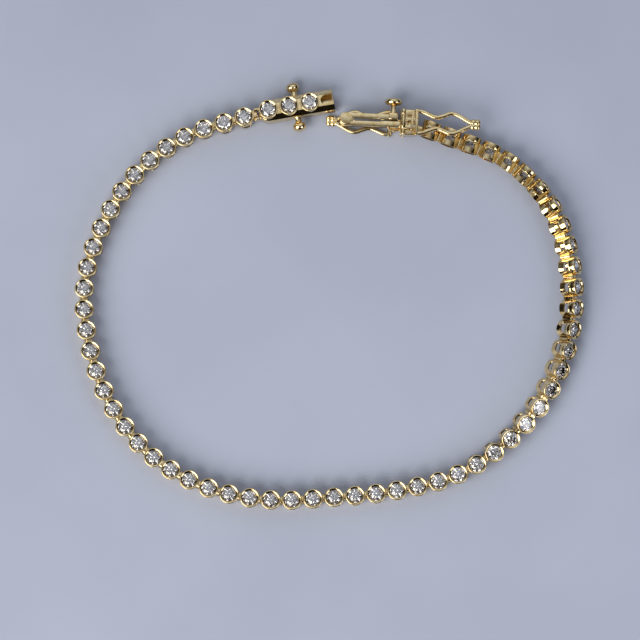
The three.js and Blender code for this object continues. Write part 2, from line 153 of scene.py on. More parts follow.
@dataclass(frozen=True)
class PolishedGold:
    """14 carat yellow gold, cast, tumbled and buffed.

    The buffing leaves a mirror that bends reflections in faint waves about 0.7 mm long, with hairline
    marks that soften it in places. The marks are drawn at twice their real width so that they show.
    """

    name: str = "polished_gold"
    colour: str = "#EFDBAE"
    tired_colour: str = "#DCC088"
    roughness_low: float = 0.07
    roughness_high: float = 0.2
    wave_mm: float = 0.7
    wave_depth_mm: float = 0.006
    wave_strength: float = 0.35
    hairline_mm: float = 0.08
    tint_from: float = 0.35
    tint_to: float = 0.6

    def material(self) -> bpy.types.Material:
        """Builds the material.

        Returns:
            The gold, with colour, roughness and bump that vary over the surface.
        """
        made = bpy.data.materials.new(self.name)
        made.use_nodes = True
        tree = made.node_tree
        shader = tree.nodes["Principled BSDF"]
        shader.inputs["Metallic"].default_value = 1.0
        place = add_node(tree, "ShaderNodeTexCoord")
        waves = add_node(tree, "ShaderNodeTexNoise", {"Scale": per_metre(self.wave_mm), "Detail": 3.0},
                         {"Vector": place.outputs["Object"]})
        hairs = add_node(tree, "ShaderNodeTexNoise",
                         {"Scale": per_metre(self.hairline_mm), "Detail": 2.0, "Distortion": 1.5},
                         {"Vector": place.outputs["Object"]})
        tint = add_node(tree, "ShaderNodeValToRGB", {}, {"Fac": waves.outputs["Fac"]})
        ramp(tint, [(self.tint_from, srgb(self.tired_colour)), (self.tint_to, srgb(self.colour))])
        gloss = add_node(tree, "ShaderNodeMapRange",
                         {"To Min": self.roughness_low, "To Max": self.roughness_high},
                         {"Value": hairs.outputs["Fac"]})
        bump = add_node(tree, "ShaderNodeBump",
                        {"Strength": self.wave_strength, "Distance": self.wave_depth_mm * MM},
                        {"Height": waves.outputs["Fac"]})
        tree.links.new(tint.outputs["Color"], shader.inputs["Base Color"])
        tree.links.new(gloss.outputs["Result"], shader.inputs["Roughness"])
        tree.links.new(bump.outputs["Normal"], shader.inputs["Normal"])
        return made


@dataclass(frozen=True)
class CutDiamond:
    """Diamond, sawn, bruted and polished to flat facets: clear, with a very high refractive index.

    Each facet sends back light from another side, so the eye sees some bright, some grey and a few dark.
    A tint by chance for each facet's direction is painted light: painted highlights and painted shade on the
    facets, for the part of that which the plain room lacks.
    """

    name: str = "cut_diamond"
    bright: str = "#F3F3F6"
    middle: str = "#DAD9DE"
    dark: str = "#7F7B7E"
    middle_from: float = 0.3
    bright_from: float = 0.75
    ior: float = 2.42
    roughness: float = 0.0

    def material(self) -> bpy.types.Material:
        """Builds the material.

        Returns:
            The clear stone, with painted highlights and painted shade: a tint by chance on each facet.
        """
        made = bpy.data.materials.new(self.name)
        made.use_nodes = True
        tree = made.node_tree
        shader = tree.nodes["Principled BSDF"]
        shader.inputs["IOR"].default_value = self.ior
        shader.inputs["Transmission Weight"].default_value = 1.0
        shader.inputs["Roughness"].default_value = self.roughness
        facet = add_node(tree, "ShaderNodeNewGeometry")
        chance = add_node(tree, "ShaderNodeTexWhiteNoise", {"noise_dimensions": "3D"},
                          {"Vector": facet.outputs["True Normal"]})
        tint = add_node(tree, "ShaderNodeValToRGB", {}, {"Fac": chance.outputs["Value"]})
        # painted highlights and painted shade on the facets: dark, grey or bright by chance for each facet's
        # direction
        ramp(tint, [(0.0, srgb(self.dark)), (self.middle_from, srgb(self.middle)),
                    (self.bright_from, srgb(self.bright))])
        tree.links.new(tint.outputs["Color"], shader.inputs["Base Color"])
        return made


@dataclass(frozen=True)
class PaleBoard:
    """Pale blue-grey card, rolled and coated matt: it scatters light evenly, with a faint cloudy mottle."""

    name: str = "pale_board"
    colour: str = "#B0B8CE"
    shade: str = "#AAB2C8"
    roughness: float = 0.55
    mottle_mm: float = 28.0
    mottle_from: float = 0.35
    mottle_to: float = 0.65

    def material(self) -> bpy.types.Material:
        """Builds the material.

        Returns:
            The matt board.
        """
        made = bpy.data.materials.new(self.name)
        made.use_nodes = True
        tree = made.node_tree
        shader = tree.nodes["Principled BSDF"]
        shader.inputs["Roughness"].default_value = self.roughness
        place = add_node(tree, "ShaderNodeTexCoord")
        mottle = add_node(tree, "ShaderNodeTexNoise", {"Scale": per_metre(self.mottle_mm), "Detail": 4.0},
                          {"Vector": place.outputs["Object"]})
        tint = add_node(tree, "ShaderNodeValToRGB", {}, {"Fac": mottle.outputs["Fac"]})
        ramp(tint, [(self.mottle_from, srgb(self.shade)), (self.mottle_to, srgb(self.colour))])
        tree.links.new(tint.outputs["Color"], shader.inputs["Base Color"])
        return made


@dataclass
class Form:
    """Vertices in millimetres and faces of a shape, ready to be placed and joined."""

    points: np.ndarray
    faces: list[tuple[int, ...]]

    def placed(self, matrix: Matrix) -> Form:
        """Copy of the shape moved by a matrix.

        Args:
            matrix: Placement in millimetres.

        Returns:
            The moved shape.
        """
        turn = np.array(matrix.to_3x3())
        moved = self.points @ turn.T + np.array(matrix.translation)
        return Form(moved, self.faces)

    @staticmethod
    def joined(forms: list[Form]) -> Form:
        """One shape from several.

        Args:
            forms: Shapes to join; they may overlap.

        Returns:
            The joined shape.
        """
        points = np.concatenate([form.points for form in forms])
        faces: list[tuple[int, ...]] = []
        start = 0
        for form in forms:
            faces.extend(tuple(index + start for index in face) for face in form.faces)
            start += len(form.points)
        return Form(points, faces)

    @staticmethod
    def from_object(made: bpy.types.Object) -> Form:
        """Shape of an object with its modifiers applied; the object is removed.

        Args:
            made: Scratch object in millimetres.

        Returns:
            Its evaluated vertices and faces.
        """
        bpy.context.view_layer.update()
        mesh = bpy.data.meshes.new_from_object(made.evaluated_get(bpy.context.evaluated_depsgraph_get()))
        points = np.empty(len(mesh.vertices) * 3)
        mesh.vertices.foreach_get("co", points)
        form = Form(points.reshape(-1, 3), [tuple(face.vertices) for face in mesh.polygons])
        bpy.data.meshes.remove(mesh)
        bpy.data.objects.remove(made)
        return form

    def scratch(self, name: str = "scratch") -> bpy.types.Object:
        """Scratch object of the shape, in millimetres, for modifiers.

        Args:
            name: Name of the object.

        Returns:
            The object, linked to the scene.
        """
        mesh = bpy.data.meshes.new(name)
        mesh.from_pydata(self.points.tolist(), [], self.faces)
        made = bpy.data.objects.new(name, mesh)
        bpy.context.scene.collection.objects.link(made)
        return made

    def rounded(self, width: float, segments: int = 2, angle: float = 30.0) -> Form:
        """Shape with its sharp edges rounded.

        Args:
            width: Width of the rounding in millimetres.
            segments: Faces across the rounding.
            angle: Smallest angle, in degrees, of an edge that is rounded.

        Returns:
            The rounded shape.
        """
        made = self.scratch()
        bevel = made.modifiers.new("round", "BEVEL")
        bevel.width = width
        bevel.segments = segments
        bevel.limit_method = "ANGLE"
        bevel.angle_limit = math.radians(angle)
        return Form.from_object(made)

    def cut_by(self, tools: list[Form]) -> Form:
        """Shape with other shapes cut away.

        Args:
            tools: Closed shapes to cut away.

        Returns:
            What is left.
        """
        made = self.scratch()
        helpers = [tool.scratch("cutter") for tool in tools]
        for helper in helpers:
            cut = made.modifiers.new("cut", "BOOLEAN")
            cut.operation = "DIFFERENCE"
            cut.solver = "EXACT"
            cut.object = helper
        form = Form.from_object(made)
        for helper in helpers:
            bpy.data.objects.remove(helper)
        return form

    def piece(self, name: str, finish: Finish, body: str, node: str) -> bpy.types.Object:
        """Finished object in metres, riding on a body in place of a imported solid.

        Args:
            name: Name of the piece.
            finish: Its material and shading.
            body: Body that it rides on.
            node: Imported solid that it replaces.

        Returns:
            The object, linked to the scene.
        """
        mesh = bpy.data.meshes.new(name)
        mesh.from_pydata((self.points * MM).tolist(), [], self.faces)
        mesh.materials.append(finish.material)
        if finish.shading is Shading.POLISHED:
            mesh.shade_smooth()
            mesh.set_sharp_from_angle(angle=math.radians(CREASE_DEGREES))
        made = bpy.data.objects.new(name, mesh)
        bpy.context.scene.collection.objects.link(made)
        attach(made, body)
        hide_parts(node)
        return made


def turned(profile: list[tuple[float, float]], sides: int) -> Form:
    """Solid of revolution about +Z.

    Args:
        profile: Radius and height of each corner, going up the outside; a radius of 0 lies on the axis.
        sides: Faces around.

    Returns:
        The closed shape.
    """
    points: list[tuple[float, float, float]] = []
    rings: list[list[int]] = []
    for radius, height in profile:
        if radius == 0:
            rings.append([len(points)])
            points.append((0.0, 0.0, height))
            continue
        rings.append(list(range(len(points), len(points) + sides)))
        for i in range(sides):
            angle = math.tau * i / sides
            points.append((radius * math.cos(angle), radius * math.sin(angle), height))
    faces: list[tuple[int, ...]] = []
    closed = rings if len(rings[0]) == 1 else rings + [rings[0]]
    for low, high in zip(closed, closed[1:]):
        for i in range(sides):
            j = (i + 1) % sides
            corners = [low[i % len(low)], low[j % len(low)], high[j % len(high)], high[i % len(high)]]
            faces.append(tuple(dict.fromkeys(corners)))
    return Form(np.array(points), faces)


def slab(outline: list[tuple[float, float]], low: float, high: float) -> Form:
    """Flat plate over an outline.

    Args:
        outline: Corners in X and Y, anticlockwise.
        low: Height of its underside.
        high: Height of its top.

    Returns:
        The closed shape.
    """
    count = len(outline)
    points = [(x, y, low) for x, y in outline] + [(x, y, high) for x, y in outline]
    faces: list[tuple[int, ...]] = [tuple(range(count))[::-1], tuple(range(count, 2 * count))]
    faces += [(i, (i + 1) % count, count + (i + 1) % count, count + i) for i in range(count)]
    return Form(np.array(points, dtype=float), faces)


def lofted(layers: list[list[tuple[float, float, float]]]) -> Form:
    """Closed shape through outlines that lie one above the other.

    Args:
        layers: Outlines with the same number of points, anticlockwise, from the lowest to the highest.

    Returns:
        The closed shape.
    """
    count = len(layers[0])
    points = [point for layer in layers for point in layer]
    faces: list[tuple[int, ...]] = [tuple(range(count))[::-1], tuple(range(len(points) - count, len(points)))]
    for i in range(len(layers) - 1):
        for k in range(count):
            a, b = i * count + k, i * count + (k + 1) % count
            faces.append((a, b, b + count, a + count))
    return Form(np.array(points), faces)


def brick(length: float, width: float, height: float,
          centre: tuple[float, float, float] = ORIGIN) -> Form:
    """Box by its sizes and its centre.

    Args:
        length: Size along X.
        width: Size along Y.
        height: Size along Z.
        centre: Its middle.

    Returns:
        The box.
    """
    x, y, z = centre
    corners = [(x - length / 2, y - width / 2), (x + length / 2, y - width / 2),
               (x + length / 2, y + width / 2), (x - length / 2, y + width / 2)]
    return slab(corners, z - height / 2, z + height / 2)


def rod(radius: float, length: float, sides: int, edge: float,
        centre: tuple[float, float, float] = ORIGIN) -> Form:
    """Round bar along Y with rounded ends.

    Args:
        radius: Radius of the bar.
        length: Length along Y.
        sides: Faces around.
        edge: Rounding of its ends.
        centre: Its middle.

    Returns:
        The bar.
    """
    half, corner = length / 2, edge * CORNER_SHARE
    form = turned([(0, -half), (radius - edge, -half), (radius - corner, -half + corner),
                   (radius, -half + edge), (radius, half - edge), (radius - corner, half - corner),
                   (radius - edge, half), (0, half)], sides)
    return form.placed(Matrix.Translation(centre) @ Matrix.Rotation(-math.pi / 2, 4, "X"))


def arc(centre: tuple[float, float], radius: float, start: float, end: float, steps: int) -> list:
    """Points on a circular arc.

    Args:
        centre: Centre in X and Y.
        radius: Radius.
        start: Start angle in degrees.
        end: End angle in degrees.
        steps: Steps between them.

    Returns:
        The points, both ends included.
    """
    angles = [math.radians(start + (end - start) * i / steps) for i in range(steps + 1)]
    return [(centre[0] + radius * math.cos(a), centre[1] + radius * math.sin(a)) for a in angles]


def spline(rows: list[tuple[float, float]], steps: int) -> list[Vector]:
    """Smooth curve through points.

    Args:
        rows: Points in X and Y.
        steps: Steps between two neighbouring points.

    Returns:
        Points along the curve.
    """
    count = len(rows)
    made = []
    for i in range(count - 1):
        p = [Vector(rows[min(max(i + k, 0), count - 1)]) for k in (-1, 0, 1, 2)]
        for s in range(steps):
            t = s / steps
            made.append(0.5 * (2 * p[1] + (p[2] - p[0]) * t + (2 * p[0] - 5 * p[1] + 4 * p[2] - p[3]) * t * t
                               + (3 * p[1] - p[0] - 3 * p[2] + p[3]) * t ** 3))
    return made + [Vector(rows[-1])]


def strip(path: list[Vector], width: float, depth: float, edge: float) -> Form:
    """Flat wire along a path in X and Y.

    Args:
        path: Points of its middle line.
        width: Width in the plane.
        depth: Depth along Z.
        edge: Rounding of its corners.

    Returns:
        The closed wire.
    """
    w, d = width / 2, depth / 2
    section = arc((w - edge, d - edge), edge, 0, 90, steps=5)
    section += [(-a, b) for a, b in reversed(section)]
    section += [(a, -b) for a, b in reversed(section)]
    count = len(section)
    points = []
    for i, point in enumerate(path):
        ahead = path[min(i + 1, len(path) - 1)] - path[max(i - 1, 0)]
        side = Vector((-ahead.y, ahead.x)).normalized()
        points += [(point.x + side.x * a, point.y + side.y * a, b) for a, b in section]
    faces: list[tuple[int, ...]] = [tuple(range(count)), tuple(range(len(points) - count, len(points)))[::-1]]
    for i in range(len(path) - 1):
        for k in range(count):
            a, b = i * count + k, i * count + (k + 1) % count
            faces.append((a, a + count, b + count, b))
    return Form(np.array(points), faces)


def ball(radius: float, flat: float, centre: tuple[float, float, float]) -> Form:
    """Round lobe, flattened along Z.

    Args:
        radius: Its radius.
        flat: Its height as a share of its width.
        centre: Its middle.

    Returns:
        The lobe.
    """
    steps = 12
    profile = [(radius * math.sin(math.pi * i / steps), -radius * math.cos(math.pi * i / steps))
               for i in range(steps + 1)]
    profile[0], profile[-1] = (0, -radius), (0, radius)
    scale = Matrix.Diagonal((1.0, 1.0, flat, 1.0))
    return turned(profile, 2 * steps).placed(Matrix.Translation(centre) @ scale)


def frame_of(origin: Vector, along: Vector, normal: Vector) -> Matrix:
    """Placement with X along one direction and Z towards the normal.

    Args:
        origin: Origin in millimetres.
        along: Direction of X.
        normal: Direction that Z leans to.

    Returns:
        The placement.
    """
    x = along.normalized()
    y = normal.cross(x).normalized()
    z = x.cross(y)
    made = Matrix((x, y, z)).transposed().to_4x4()
    made.translation = origin
    return made


@dataclass
class Lie:
    """How the bracelet lies on the surface: its route, twist and the places of the clasp's pieces.

    The route's points are in X and Y, from the box to the tongue. Each row of the twist has a share of the
    chain's length, the roll of its cups in degrees and their lift from the surface.
    """

    link_count: int = 59
    pitch: float = 2.84
    cup_radius: float = 1.285
    cup_height: float = 2.35
    lug_height: float = 0.85
    lug_to_box: float = 5.74
    lug_to_tongue: float = 2.69
    tongue_above_lug: float = 0.86
    block_axis_height: float = 1.84
    hinge_back: float = 0.4
    block_middle: float = -0.125
    hinge_offset: float = 1.5
    box_yaw: float = 10.0
    box_roll: float = 6.0
    tongue_yaw: float = 177.5
    table_height: float = 2.82
    table_radius: float = 0.5824
    route: list[tuple[float, float]] = field(default_factory=lambda: [
        (-10.2, 27.3), (-17.8, 24.9), (-24.5, 20.0), (-29.1, 13.1), (-31.6, 5.1), (-31.0, -3.4),
        (-28.0, -11.5), (-22.7, -18.2), (-15.3, -22.5), (-7.1, -24.2), (1.5, -23.9), (10.1, -23.0),
        (18.5, -20.8), (25.5, -15.8), (30.7, -9.1), (33.5, -1.0), (33.6, 7.5), (31.0, 15.4),
        (25.2, 21.5), (17.4, 24.7), (14.9, 25.6)])
    twist: list[tuple[float, float, float]] = field(default_factory=lambda: [
        (0.0, 6, 0), (0.04, 0, 0), (0.62, 0, 0), (0.7, 26, 0), (0.79, 52, 0), (0.88, 72, 0),
        (0.945, 89, 0), (1.0, 90, 0.22)])
    shift: Vector = field(default_factory=Vector)
    rough_steps: int = 200
    fine_steps: int = 4000
    nudge: float = 1e-4
    short_of_end: float = 1e-9

    def curve(self, t: float) -> Vector:
        """Point of the unscaled route.

        Args:
            t: Share of the curve's parameter, 0 to 1.

        Returns:
            The point, on a centripetal curve through the route's points.
        """
        points = [Vector((x, y, 0.0)) for x, y in self.route]
        last = len(points) - 1
        place = min(t * last, last - self.short_of_end)
        i = int(place)
        p1, p2 = points[i], points[i + 1]
        p0 = points[i - 1] if i > 0 else 2 * p1 - p2
        p3 = points[i + 2] if i + 2 <= last else 2 * p2 - p1
        d0, d1, d2 = (math.sqrt((b - a).length) for a, b in ((p0, p1), (p1, p2), (p2, p3)))
        m1 = ((p1 - p0) / d0 - (p2 - p0) / (d0 + d1) + (p2 - p1) / d1) * d1
        m2 = ((p2 - p1) / d1 - (p3 - p1) / (d1 + d2) + (p3 - p2) / d2) * d1
        w = place - i
        return p1 + m1 * w + (3 * (p2 - p1) - 2 * m1 - m2) * w ** 2 + (2 * (p1 - p2) + m1 + m2) * w ** 3

    def link_frames(self) -> list[Matrix]:
        """Placements of the cups' back centres, each cup resting on the surface at its roll.

        Returns:
            One placement for each link, from the box to the tongue.
        """
        rough = [self.curve(i / self.rough_steps) for i in range(self.rough_steps + 1)]
        factor = (self.link_count - 1) * self.pitch / sum((b - a).length for a, b in zip(rough, rough[1:]))
        samples = [self.curve(i / self.fine_steps) * factor for i in range(self.fine_steps + 1)]
        marks = np.linspace(0, 1, self.fine_steps + 1)
        lengths = np.concatenate([[0], np.cumsum([(b - a).length for a, b in zip(samples, samples[1:])])])
        shares, rolls, lifts = zip(*self.twist)
        frames = []
        for i in range(self.link_count):
            share = i / (self.link_count - 1)
            t = float(np.interp(share * lengths[-1], lengths, marks))
            roll = math.radians(np.interp(share, shares, rolls))
            along = (self.curve(min(t + self.nudge, 1)) - self.curve(max(t - self.nudge, 0))).normalized()
            normal = UP * math.cos(roll) + along.cross(UP) * math.sin(roll)
            middle = self.curve(t) * factor
            middle.z = np.interp(share, shares, lifts)
            middle.z += self.cup_height / 2 * math.cos(roll) + self.cup_radius * math.sin(roll)
            frames.append(frame_of(middle - normal * self.cup_height / 2 + self.shift, along, normal))
        return frames

    def tongue_frame(self) -> Matrix:
        """Placement of the tongue.

        Returns:
            X to its nose, Y along its face normal and Z down.
        """
        yaw = math.radians(self.tongue_yaw)
        along = Vector((math.cos(yaw), math.sin(yaw), 0))
        origin = self.link_frames()[-1] @ Vector((self.pitch / 2, 0, self.lug_height))
        origin += along * self.lug_to_tongue + along.cross(UP) * self.tongue_above_lug
        origin.z = self.block_axis_height
        return frame_of(origin, along, -UP)

    def hinge_frame(self, side: int) -> Matrix:
        """Placement of a catch's hinge.

        Args:
            side: 1 for the near, lower catch and -1 for the far one, which lies folded back.

        Returns:
            X along the catch's loop and Y along its hinge.
        """
        place = Matrix.Translation((-self.hinge_back, self.block_middle, side * self.hinge_offset))
        turn = Matrix.Rotation(0 if side == 1 else math.pi, 4, "Y")
        return self.tongue_frame() @ place @ turn

    def fit_to(self, joint_place: list[float]) -> None:
        """Shifts the lie so that the near catch's hinge is at its packed place.

        Args:
            joint_place: The hinge's place in metres.
        """
        wanted = Vector(joint_place) / MM
        self.shift = wanted - self.hinge_frame(1).translation
        self.shift.z = 0.0

    def box_frame(self) -> Matrix:
        """Placement of the clasp box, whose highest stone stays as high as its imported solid.

        Returns:
            X to its mouth and Z out of its top.
        """
        yaw, roll = math.radians(self.box_yaw), math.radians(self.box_roll)
        axis = self.link_frames()[0] @ Vector((-self.pitch / 2, 0, self.lug_height))
        origin = axis + Vector((math.cos(yaw), math.sin(yaw), 0)) * self.lug_to_box
        table_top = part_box("clasp_stone_2")[1][2] / MM
        origin.z = table_top - self.table_height * math.cos(roll) - self.table_radius * math.sin(roll)
        return Matrix.Translation(origin) @ Matrix.Rotation(yaw, 4, "Z") @ Matrix.Rotation(-roll, 4, "X")


@dataclass
class Brilliant:
    """Round brilliant stone with its table, star, bezel, girdle and pavilion facets."""

    radius: float = 1.03
    table_share: float = 0.56
    star_share: float = 0.78
    crown: float = 0.31
    girdle: float = 0.05
    pavilion: float = 0.88
    lower_share: float = 0.24

    def form(self, table: float) -> Form:
        """The stone about +Z.

        Args:
            table: Height of its table.

        Returns:
            The faceted stone.
        """
        high = table - self.crown
        low = high - self.girdle
        tip = low - self.pavilion
        mains, around = 8, 16
        half = math.tau / around
        table_radius = self.radius * self.table_share
        star = self.radius * self.star_share
        lower = self.radius * self.lower_share
        slope = self.crown / (self.radius - table_radius)
        star_height = table - (star * math.cos(half) - table_radius) * slope
        lower_height = tip + lower * math.cos(half) * self.pavilion / self.radius

        def ring(radius: float, height: float, count: int, offset: float) -> list:
            """Points on a circle at a height, turned by an offset."""
            return [(radius * math.cos(math.tau * k / count + offset),
                     radius * math.sin(math.tau * k / count + offset), height) for k in range(count)]

        points = ring(table_radius, table, mains, 0) + ring(star, star_height, mains, half)
        points += ring(self.radius, high, around, 0) + ring(self.radius, low, around, 0)
        points += ring(lower, lower_height, mains, half) + [(0, 0, tip)]
        stars, top = mains, 2 * mains
        bottom, lowers = top + around, top + 2 * around
        culet = lowers + mains
        faces: list[tuple[int, ...]] = [tuple(range(mains))]
        for k in range(mains):
            n, p, g = (k + 1) % mains, (k - 1) % mains, 2 * k
            faces.append((k, stars + k, n))
            faces.append((k, stars + p, top + g, stars + k))
            faces.append((stars + k, top + g, top + g + 1))
            faces.append((stars + k, top + g + 1, top + (g + 2) % around))
            faces.append((bottom + g, lowers + k, bottom + g + 1))
            faces.append((bottom + g + 1, lowers + k, bottom + (g + 2) % around))
            faces.append((bottom + g, lowers + p, culet, lowers + k))
        for g in range(around):
            n = (g + 1) % around
            faces.append((top + g, bottom + g, bottom + n, top + n))
        return Form(np.array(points), faces)


@dataclass
class BezelCup:
    """Round open-backed cup with a rolled lip and two side windows."""

    radius: float = 1.285
    height: float = 2.35
    bore: float = 1.03
    lip_inner: float = 0.95
    lip_depth: float = 0.72
    lip_radius: float = 1.3
    lip_roll: float = 0.09
    lip_turns: tuple[float, ...] = (90, 70, 50, 32, 16, 0)
    lip_top: float = 0.09
    lip_crown: float = 0.02
    lip_slope: float = 0.2
    lip_foot: float = 0.42
    lip_foot_step: float = 0.06
    lip_chamfer: tuple[float, float] = (0.01, 0.04)
    lip_sides: int = 48
    body_top: float = 1.75
    window_low: float = 0.72
    window_high: float = 1.48
    window_span: int = 3
    window_crease: float = 0.35
    end_crease: float = 0.75
    levels: int = 2

    def columns(self) -> list[float]:
        """Angles of the cup's columns in degrees; three columns on each side span a window."""
        half_turn = [57.0, 79.0, 101.0, 123.0, 151.0, 180.0, 209.0]
        return half_turn + [angle + 180.0 for angle in half_turn]

    def form(self) -> Form:
        """The cup about +Z with its back at Z = 0.

        Returns:
            The smooth cup and its lip.
        """
        rings = [(self.bore, 0.0), (self.radius, 0.0), (self.radius, self.window_low),
                 (self.radius, self.window_high), (self.radius, self.body_top), (self.bore, self.body_top),
                 (self.bore, self.window_high), (self.bore, self.window_low)]
        angles = [math.radians(angle) for angle in self.columns()]
        around, count = len(angles), len(rings)
        points = [(r * math.cos(a), r * math.sin(a), z) for r, z in rings for a in angles]
        windows = (0, around // 2)
        open_columns = {first + j for first in windows for j in range(self.window_span)}
        outer_low, outer_high, inner_high, inner_low = 2, 3, 6, 7
        faces: list[tuple[int, ...]] = []
        for k in range(count):
            following = (k + 1) % count
            for j in range(around):
                if j in open_columns and k in (outer_low, inner_high):
                    continue
                after = (j + 1) % around
                faces.append((k * around + j, k * around + after, following * around + after,
                              following * around + j))
        creases: list[tuple[int, int]] = []
        for first in windows:
            for j in range(first, first + self.window_span):
                after = (j + 1) % around
                low_out, high_out = outer_low * around, outer_high * around
                high_in, low_in = inner_high * around, inner_low * around
                faces.append((high_out + j, high_out + after, high_in + after, high_in + j))
                faces.append((low_out + after, low_out + j, low_in + j, low_in + after))
                creases += [(a + j, a + after) for a in (low_out, high_out, high_in, low_in)]
            left, right = first, (first + self.window_span) % around
            faces.append((low_out + left, high_out + left, high_in + left, low_in + left))
            faces.append((high_out + right, low_out + right, low_in + right, high_in + right))
            for j in (left, right):
                creases += [(low_out + j, high_out + j), (high_in + j, low_in + j)]
        return Form.joined([self.smoothed(points, faces, creases, around), self.lip(self.lip_depth)])

    def lip(self, depth: float) -> Form:
        """The rolled rim: a round outer edge, a narrow top and a slope down to the stone.

        Args:
            depth: How far it reaches down from the top.

        Returns:
            The closed ring.
        """
        top, low = self.height, self.height - depth
        outer, (inset, rise) = self.lip_radius, self.lip_chamfer
        roll = [(outer - self.lip_roll * (1 - math.sin(turn)), top - self.lip_roll * (1 - math.cos(turn)))
                for turn in map(math.radians, self.lip_turns)]
        slope_top, foot = outer - self.lip_roll - self.lip_top, top - self.lip_foot
        return turned([(self.bore, low), (self.radius - inset, low), (self.radius, low + rise), *roll,
                       (slope_top, top - self.lip_crown), (self.lip_inner, top - self.lip_slope),
                       (self.lip_inner, foot), (self.bore, foot - self.lip_foot_step)], self.lip_sides)

    def smoothed(self, points: list, faces: list, creases: list, around: int) -> Form:
        """Subdivides the cage, keeping its ends and windows crisp and its true outer size.

        Args:
            points: Corners of the cage.
            faces: Its faces.
            creases: Edges round the windows.
            around: Corners in one ring.

        Returns:
            The subdivided cup.
        """
        made = Form(np.array(points), faces).scratch()
        sharp = {frozenset(pair): self.window_crease for pair in creases}
        back_rings, top_rings = (0, 1), (4, 5)
        for start in (ring * around for ring in back_rings + top_rings):
            for j in range(around):
                sharp[frozenset((start + j, start + (j + 1) % around))] = self.end_crease
        layer = made.data.attributes.new("crease_edge", "FLOAT", "EDGE")
        for edge in made.data.edges:
            layer.data[edge.index].value = sharp.get(frozenset(edge.vertices), 0.0)
        smooth = made.modifiers.new("smooth", "SUBSURF")
        smooth.levels = smooth.render_levels = self.levels
        form = Form.from_object(made)
        spread = self.radius / np.hypot(form.points[:, 0], form.points[:, 1]).max()
        form.points[:, :2] *= spread
        form.points[:, 2] -= form.points[:, 2].min()
        form.points[:, 2] *= self.body_top / form.points[:, 2].max()
        return form


@dataclass
class HingeLug:
    """Hinge between two cups: a block nearly as tall as they are, with a round upright rib on each side."""

    reach: float = 0.84
    width: float = 0.84
    height: float = 1.6
    edge: float = 0.12
    rib_radius: float = 0.24
    rib_offset: float = 0.34
    end_height: float = 0.8
    end_width: float = 0.7
    pin_radius: float = 0.22
    pin_length: float = 1.5
    pin_edge: float = 0.06
    sides: int = 20

    def form(self) -> Form:
        """The hinge between two cups, chain along X and the cups' axis along Z.

        Returns:
            The block with its two ribs.
        """
        radius, half, edge = self.rib_radius, self.height / 2, self.edge / 2
        rib = turned([(0, edge - half), (radius - edge, edge - half), (radius, 2 * edge - half),
                      (radius, half - 2 * edge), (radius - edge, half - edge), (0, half - edge)], self.sides)
        ribs = [rib.placed(Matrix.Translation((0, side * self.rib_offset, 0))) for side in (-1, 1)]
        block = brick(self.reach, self.width, self.height).rounded(2 * self.edge, segments=4)
        return Form.joined([block, *ribs])

    def end(self) -> Form:
        """The lug at each end of the chain, with the pin that holds it between the clasp's own ears.

        Returns:
            The lug and its pin.
        """
        lug = brick(self.reach, self.end_width, self.end_height).rounded(self.edge, segments=3)
        pin = rod(self.pin_radius, self.pin_length, self.sides, self.pin_edge)
        return Form.joined([lug, pin])


@dataclass(frozen=True)
class LugEars:
    """Pair of ears on the clasp that holds the pin of the chain's first or last lug."""

    reach: float = 0.57
    root: float = 0.2
    width: float = 0.34
    height: float = 0.8
    offset: float = 0.66
    edge: float = 0.1

    def form(self) -> Form:
        """Both ears, reaching along -X from the face that they stand on and set apart along Y.

        Returns:
            The pair.
        """
        long = self.reach + self.root
        ear = brick(long, self.width, self.height, (long / 2 - self.reach, 0, 0))
        ear = ear.rounded(self.edge, segments=3)
        return Form.joined([ear.placed(Matrix.Translation((0, side * self.offset, 0))) for side in (-1, 1)])


@dataclass(frozen=True)
class Stud:
    """Round post with a spread foot, a slim neck and a domed head; the dome is in shares of the head."""

    neck: float
    head: float
    foot_spread: float
    collar: float
    dome: tuple[tuple[float, float], ...]
    tip_share: float
    sides: int
    face_spread: float = 0.1
    face_rise: float = 0.16
    tip_drop: float = 0.02

    def form(self, base: float, face: float, under: float, top: float) -> Form:
        """The post along +Y, standing in a flat face.

        Args:
            base: Where its foot starts, inside the metal.
            face: Height of the face that it comes out of.
            under: Height of the head's underside.
            top: Height of the head's top.

        Returns:
            The post.
        """
        high = top - under
        profile = [(0, base), (self.neck + self.foot_spread, base), (self.neck + self.face_spread, face),
                   (self.neck, face + self.face_rise), (self.neck, under - self.collar),
                   (self.neck + self.collar, under)]
        profile += [(self.head * across, under + high * up) for across, up in self.dome]
        profile += [(self.head * self.tip_share, top - self.tip_drop), (0, top)]
        return turned(profile, self.sides).placed(Matrix.Rotation(-math.pi / 2, 4, "X"))


